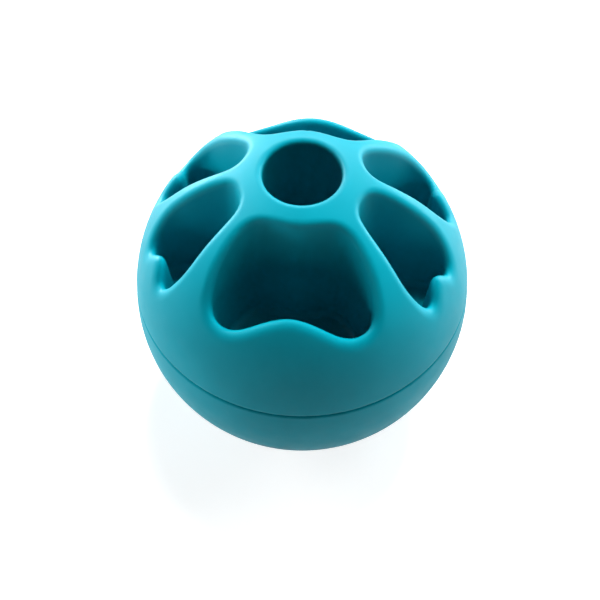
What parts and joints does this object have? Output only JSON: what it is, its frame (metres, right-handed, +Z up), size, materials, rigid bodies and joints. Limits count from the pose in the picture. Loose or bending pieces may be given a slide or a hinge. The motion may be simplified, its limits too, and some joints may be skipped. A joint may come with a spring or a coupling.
{
  "type": "treat dispensing ball",
  "caption": "Weighted rubber pet ball that opens at its waist, with a round treat well on top ringed by deep moulded pockets.",
  "frame": {"origin": "centre of the flat foot, on the floor", "axes": "+Z up along the well, -Y towards the middle of the front large pocket, +X to its right as seen from the front"},
  "size_m": [0.1, 0.1, 0.1016],
  "materials": {
    "dome_rubber": "matte moulded teal rubber",
    "bowl_rubber": "matte moulded teal rubber",
    "weight_iron": "dull grey cast surface",
    "cover_plastic": "matte dark teal"
  },
  "bodies": {
    "bowl": {"base_shell": "bowl_rubber", "ballast_weight": "weight_iron", "weight_cover": "cover_plastic"},
    "dome": {"upper_body": "dome_rubber"}
  },
  "joints": [
    {"name": "lift_off", "type": "slide", "parent": "bowl", "child": "dome", "axis": [0, 0, 1], "range_m": [0, 0.05]}
  ]
}
